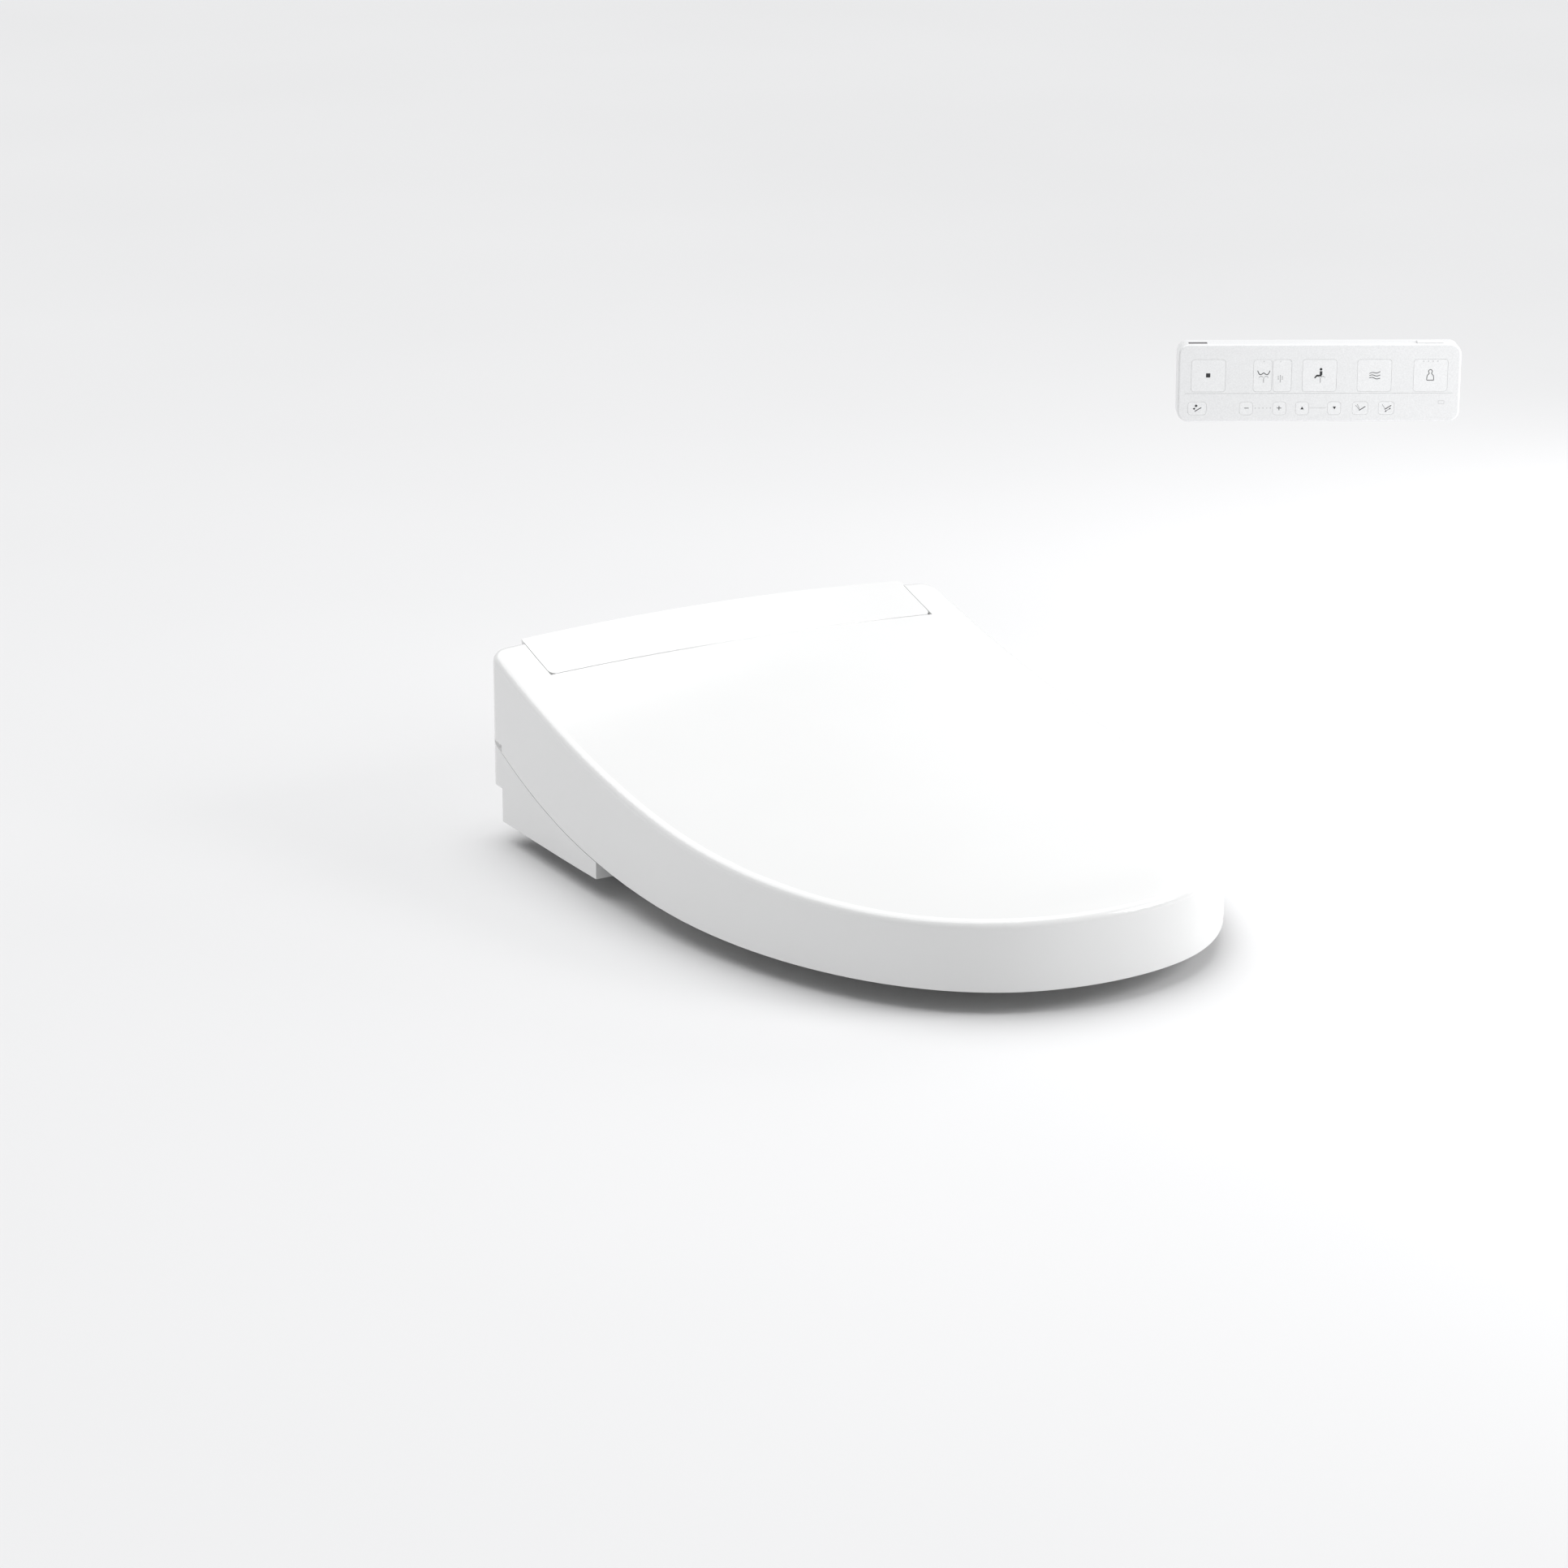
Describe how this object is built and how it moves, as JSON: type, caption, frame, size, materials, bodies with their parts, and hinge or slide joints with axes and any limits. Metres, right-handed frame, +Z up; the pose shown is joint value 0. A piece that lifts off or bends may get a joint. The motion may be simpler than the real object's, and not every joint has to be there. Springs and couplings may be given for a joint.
{
  "type": "electric bidet seat",
  "caption": "Glossy white electric bidet seat with a D-shaped closing lid over a heated ring, docking main unit, sliding wash wand and a slim wall remote with flush keys.",
  "frame": {"origin": "midway between the two mounting bolts, in the plane of the bowl rim", "axes": "+Z up, -Y towards the front of the toilet, +X to the left of a person sitting on it"},
  "size_m": [0.78, 0.5304, 0.3042],
  "materials": {
    "lid_plastic": "gloss",
    "seat_plastic": "gloss",
    "case_plastic": "gloss",
    "inner_plastic": "matte",
    "remote_plastic": "satin",
    "key_plastic": "satin",
    "dark_plastic": "matte",
    "bumper_rubber": "matte",
    "steel": "brushed",
    "brass": "machined",
    "motor_metal": "satin",
    "board_green": "solder resist",
    "heater_foil": "foil",
    "battery_case": "satin"
  },
  "bodies": {
    "building": {"base_plate": "inner_plastic", "base_pads": "bumper_rubber", "wall_hanger": "remote_plastic"},
    "main_unit": {"lower_case": "case_plastic", "upper_case": "case_plastic", "top_cover": "case_plastic", "case_screws": "steel", "hinge_pins": "steel", "hinge_dampers": "inner_plastic", "control_board": "board_green", "power_board": "board_green", "power_gland": "dark_plastic", "inlet_fitting": "brass", "solenoid_valve": "inner_plastic", "heater_tank": "inner_plastic", "air_pump": "motor_metal", "water_tubes": "bumper_rubber", "nozzle_guide": "inner_plastic", "nozzle_motor": "motor_metal", "dryer_housing": "inner_plastic", "dryer_heater": "heater_foil", "deodorizer_housing": "inner_plastic"},
    "seat_ring": {"seat_top": "seat_plastic", "seat_base": "seat_plastic", "seat_heater": "heater_foil", "seat_bumpers": "bumper_rubber"},
    "lid": {"lid_shell": "lid_plastic", "lid_bumpers": "bumper_rubber"},
    "wand": {"wand_tube": "case_plastic", "nozzle_tip": "case_plastic"},
    "pinion": {"drive_pinion": "inner_plastic"},
    "dryer_wheel": {"dryer_impeller": "dark_plastic"},
    "outlet_flap": {"dryer_flap": "case_plastic"},
    "air_wheel": {"deodorizer_impeller": "dark_plastic"},
    "filter": {"deodorizer_filter": "inner_plastic"},
    "release": {"release_button": "case_plastic"},
    "remote": {"remote_front": "remote_plastic", "remote_back": "remote_plastic", "remote_board": "board_green", "batteries": "battery_case", "battery_contacts": "steel", "ir_window": "dark_plastic"},
    "door": {"battery_door": "remote_plastic"},
    "bar_key": {"top_button": "key_plastic"},
    "key_stop": {"wall_remote_key_stop": "key_plastic"},
    "key_rear": {"wall_remote_key_rear": "key_plastic"},
    "key_soft": {"wall_remote_key_soft": "key_plastic"},
    "key_front": {"wall_remote_key_front": "key_plastic"},
    "key_dryer": {"wall_remote_key_dryer": "key_plastic"},
    "key_user": {"wall_remote_key_user": "key_plastic"},
    "key_clean": {"wall_remote_key_clean": "key_plastic"},
    "key_minus": {"wall_remote_key_minus": "key_plastic"},
    "key_plus": {"wall_remote_key_plus": "key_plastic"},
    "key_up": {"wall_remote_key_up": "key_plastic"},
    "key_down": {"wall_remote_key_down": "key_plastic"},
    "key_pulse": {"wall_remote_key_pulse": "key_plastic"},
    "key_swing": {"wall_remote_key_swing": "key_plastic"}
  },
  "joints": [
    {"name": "main_unit_dock_slide", "type": "slide", "parent": "building", "child": "main_unit", "axis": [0, -1, 0], "range_m": [0, 0.12]},
    {"name": "lid_hinge", "type": "hinge", "parent": "seat_ring", "child": "lid", "pos_m": [0, 0.038, 0.108], "axis": [1, 0, 0], "range_deg": [-95, 0]},
    {"name": "bidet_seat_hinge", "type": "hinge", "parent": "main_unit", "child": "seat_ring", "pos_m": [0, 0.038, 0.108], "axis": [-1, 0, 0], "range_deg": [0, 95]},
    {"name": "nozzle_wand_slide", "type": "slide", "parent": "main_unit", "child": "wand", "axis": [0, -0.9135, -0.4067], "range_m": [0, 0.084]},
    {"name": "pinion_spin", "type": "hinge", "parent": "main_unit", "child": "pinion", "pos_m": [0, -0.03478, 0.05054], "axis": [-1, 0, 0], "range_deg": [-10, 610]},
    {"name": "turning_dryer_fan", "type": "hinge", "parent": "main_unit", "child": "dryer_wheel", "pos_m": [0.086, -0.006, 0.0131], "axis": [0, 0, 1], "continuous": true},
    {"name": "dryer_flap_hinge", "type": "hinge", "parent": "main_unit", "child": "outlet_flap", "pos_m": [0.086, -0.1126, 0.0108], "axis": [-1, 0, 0], "range_deg": [0, 70]},
    {"name": "turning_deodorizer_fan", "type": "hinge", "parent": "main_unit", "child": "air_wheel", "pos_m": [-0.1, -0.027, 0.0133], "axis": [0, 0, 1], "continuous": true},
    {"name": "filter_slide", "type": "slide", "parent": "main_unit", "child": "filter", "axis": [0, -1, 0], "range_m": [0, 0.05]},
    {"name": "release_button_press", "type": "slide", "parent": "main_unit", "child": "release", "axis": [-1, 0, 0], "range_m": [0, 0.004], "stiffness_N_per_m": 600, "springref_m": -0.002},
    {"name": "remote_lift_off", "type": "slide", "parent": "building", "child": "remote", "axis": [0, 0, 1], "range_m": [0, 0.012]},
    {"name": "wall_battery_door_slide", "type": "slide", "parent": "remote", "child": "door", "axis": [0, 0, -1], "range_m": [0, 0.026]},
    {"name": "top_button_press", "type": "slide", "parent": "remote", "child": "bar_key", "axis": [0, 0, -1], "range_m": [0, 0.001], "stiffness_N_per_m": 900, "springref_m": -0.001},
    {"name": "wall_remote_key_stop_press", "type": "slide", "parent": "remote", "child": "key_stop", "axis": [0.5, 0.866, 0], "range_m": [0, 0.0005], "stiffness_N_per_m": 1200, "springref_m": -0.0005},
    {"name": "wall_remote_key_rear_press", "type": "slide", "parent": "remote", "child": "key_rear", "axis": [0.5, 0.866, 0], "range_m": [0, 0.0005], "stiffness_N_per_m": 1200, "springref_m": -0.0005},
    {"name": "wall_remote_key_soft_press", "type": "slide", "parent": "remote", "child": "key_soft", "axis": [0.5, 0.866, 0], "range_m": [0, 0.0005], "stiffness_N_per_m": 1200, "springref_m": -0.0005},
    {"name": "wall_remote_key_front_press", "type": "slide", "parent": "remote", "child": "key_front", "axis": [0.5, 0.866, 0], "range_m": [0, 0.0005], "stiffness_N_per_m": 1200, "springref_m": -0.0005},
    {"name": "wall_remote_key_dryer_press", "type": "slide", "parent": "remote", "child": "key_dryer", "axis": [0.5, 0.866, 0], "range_m": [0, 0.0005], "stiffness_N_per_m": 1200, "springref_m": -0.0005},
    {"name": "wall_remote_key_user_press", "type": "slide", "parent": "remote", "child": "key_user", "axis": [0.5, 0.866, 0], "range_m": [0, 0.0005], "stiffness_N_per_m": 1200, "springref_m": -0.0005},
    {"name": "wall_remote_key_clean_press", "type": "slide", "parent": "remote", "child": "key_clean", "axis": [0.5, 0.866, 0], "range_m": [0, 0.0005], "stiffness_N_per_m": 1200, "springref_m": -0.0005},
    {"name": "wall_remote_key_minus_press", "type": "slide", "parent": "remote", "child": "key_minus", "axis": [0.5, 0.866, 0], "range_m": [0, 0.0005], "stiffness_N_per_m": 1200, "springref_m": -0.0005},
    {"name": "wall_remote_key_plus_press", "type": "slide", "parent": "remote", "child": "key_plus", "axis": [0.5, 0.866, 0], "range_m": [0, 0.0005], "stiffness_N_per_m": 1200, "springref_m": -0.0005},
    {"name": "wall_remote_key_up_press", "type": "slide", "parent": "remote", "child": "key_up", "axis": [0.5, 0.866, 0], "range_m": [0, 0.0005], "stiffness_N_per_m": 1200, "springref_m": -0.0005},
    {"name": "wall_remote_key_down_press", "type": "slide", "parent": "remote", "child": "key_down", "axis": [0.5, 0.866, 0], "range_m": [0, 0.0005], "stiffness_N_per_m": 1200, "springref_m": -0.0005},
    {"name": "wall_remote_key_pulse_press", "type": "slide", "parent": "remote", "child": "key_pulse", "axis": [0.5, 0.866, 0], "range_m": [0, 0.0005], "stiffness_N_per_m": 1200, "springref_m": -0.0005},
    {"name": "wall_remote_key_swing_press", "type": "slide", "parent": "remote", "child": "key_swing", "axis": [0.5, 0.866, 0], "range_m": [0, 0.0005], "stiffness_N_per_m": 1200, "springref_m": -0.0005}
  ],
  "couplings": [
    {"joint": "pinion_spin", "follows": "nozzle_wand_slide", "rad_per_m": 125}
  ]
}
